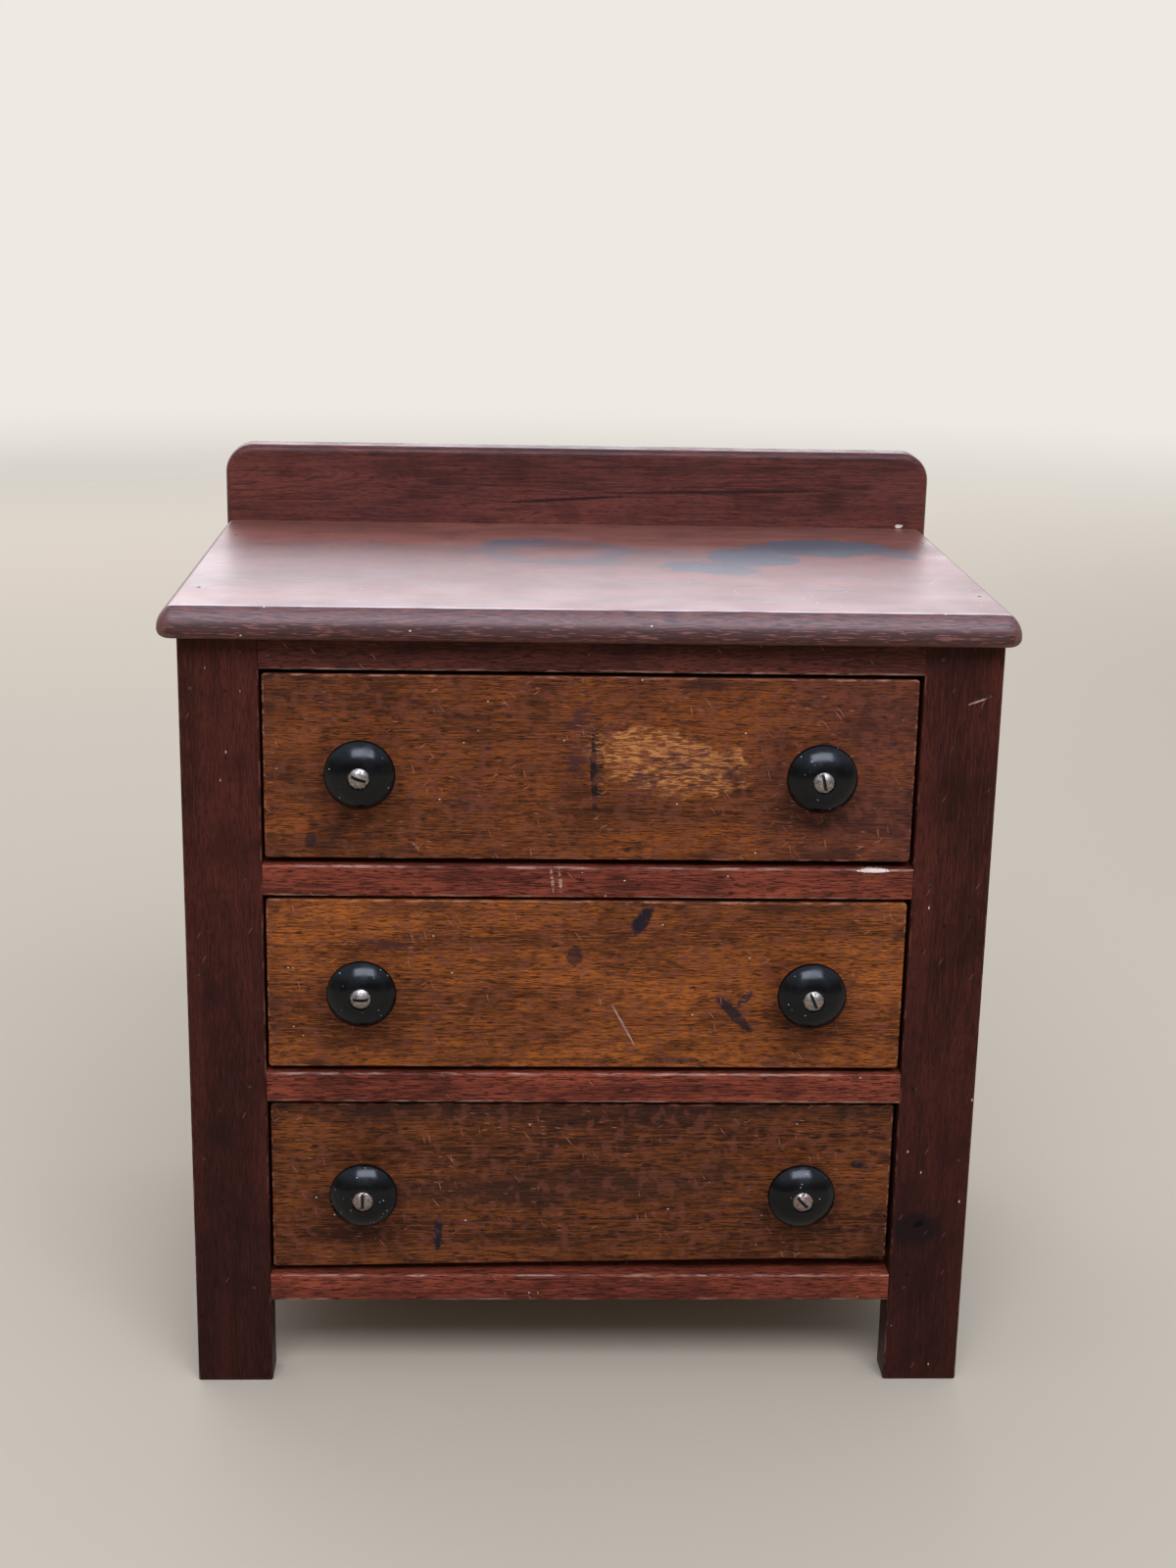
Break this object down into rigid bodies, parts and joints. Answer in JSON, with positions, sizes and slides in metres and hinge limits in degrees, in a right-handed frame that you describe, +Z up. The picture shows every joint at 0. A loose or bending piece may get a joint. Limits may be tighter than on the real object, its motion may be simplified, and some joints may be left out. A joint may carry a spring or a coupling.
{
  "type": "miniature chest of drawers",
  "caption": "Miniature wooden chest of drawers: pinned front frame, moulded top with a back gallery, dovetailed drawers that slide on runners, turned black knobs held by slotted screws.",
  "frame": {"origin": "on the floor, under the middle of the whole closed chest's box, knobs included", "axes": "+Z up, the drawers open towards -Y, +X to the right as seen from the front"},
  "size_m": [0.3112, 0.2208, 0.3443],
  "materials": {
    "polished_top": "worn french polish",
    "case_mahogany": "dark stained, old polish",
    "drawer_front_wood": "stained, scratched old polish",
    "drawer_lining": "unfinished",
    "runner_pine": "unfinished",
    "back_wood": "thin dark stain",
    "ebonised_knob": "ebonised, polished",
    "screw_steel": "worn, slightly rusted",
    "nail_iron": "dark, rusted"
  },
  "bodies": {
    "case": {"back_gallery": "case_mahogany", "back_panel": "back_wood", "bottom_rail": "case_mahogany", "drawer_guides_left": "runner_pine", "drawer_guides_right": "runner_pine", "drawer_stops": "runner_pine", "front_stile_left": "case_mahogany", "front_stile_right": "case_mahogany", "gallery_nails": "nail_iron", "glue_blocks": "runner_pine", "kicker_left": "runner_pine", "kicker_right": "runner_pine", "lower_drawer_rail": "case_mahogany", "lower_runner_left": "runner_pine", "lower_runner_right": "runner_pine", "middle_runner_left": "runner_pine", "middle_runner_right": "runner_pine", "rail_pins": "nail_iron", "rear_bottom_rail": "back_wood", "rear_stile_left": "case_mahogany", "rear_stile_right": "case_mahogany", "rear_top_rail": "back_wood", "side_panel_left": "case_mahogany", "side_panel_right": "case_mahogany", "stile_nails": "nail_iron", "top_board": "polished_top", "top_nails": "nail_iron", "top_rail": "case_mahogany", "upper_drawer_rail": "case_mahogany", "upper_runner_left": "runner_pine", "upper_runner_right": "runner_pine"},
    "upper_drawer": {"upper_drawer_back": "drawer_lining", "upper_drawer_bottom": "drawer_lining", "upper_drawer_bottom_nails": "nail_iron", "upper_drawer_front": "drawer_front_wood", "upper_drawer_side_left": "drawer_lining", "upper_drawer_side_right": "drawer_lining", "upper_knob_left": "ebonised_knob", "upper_knob_right": "ebonised_knob", "upper_knob_screws": "screw_steel"},
    "middle_drawer": {"middle_drawer_back": "drawer_lining", "middle_drawer_bottom": "drawer_lining", "middle_drawer_bottom_nails": "nail_iron", "middle_drawer_front": "drawer_front_wood", "middle_drawer_side_left": "drawer_lining", "middle_drawer_side_right": "drawer_lining", "middle_knob_left": "ebonised_knob", "middle_knob_right": "ebonised_knob", "middle_knob_screws": "screw_steel"},
    "lower_drawer": {"lower_drawer_back": "drawer_lining", "lower_drawer_bottom": "drawer_lining", "lower_drawer_bottom_nails": "nail_iron", "lower_drawer_front": "drawer_front_wood", "lower_drawer_side_left": "drawer_lining", "lower_drawer_side_right": "drawer_lining", "lower_knob_left": "ebonised_knob", "lower_knob_right": "ebonised_knob", "lower_knob_screws": "screw_steel"}
  },
  "joints": [
    {"name": "upper_drawer_slide", "type": "slide", "parent": "case", "child": "upper_drawer", "axis": [0, -1, 0], "range_m": [0, 0.13]},
    {"name": "middle_drawer_slide", "type": "slide", "parent": "case", "child": "middle_drawer", "axis": [0, -1, 0], "range_m": [0, 0.13]},
    {"name": "lower_drawer_slide", "type": "slide", "parent": "case", "child": "lower_drawer", "axis": [0, -1, 0], "range_m": [0, 0.13]}
  ]
}
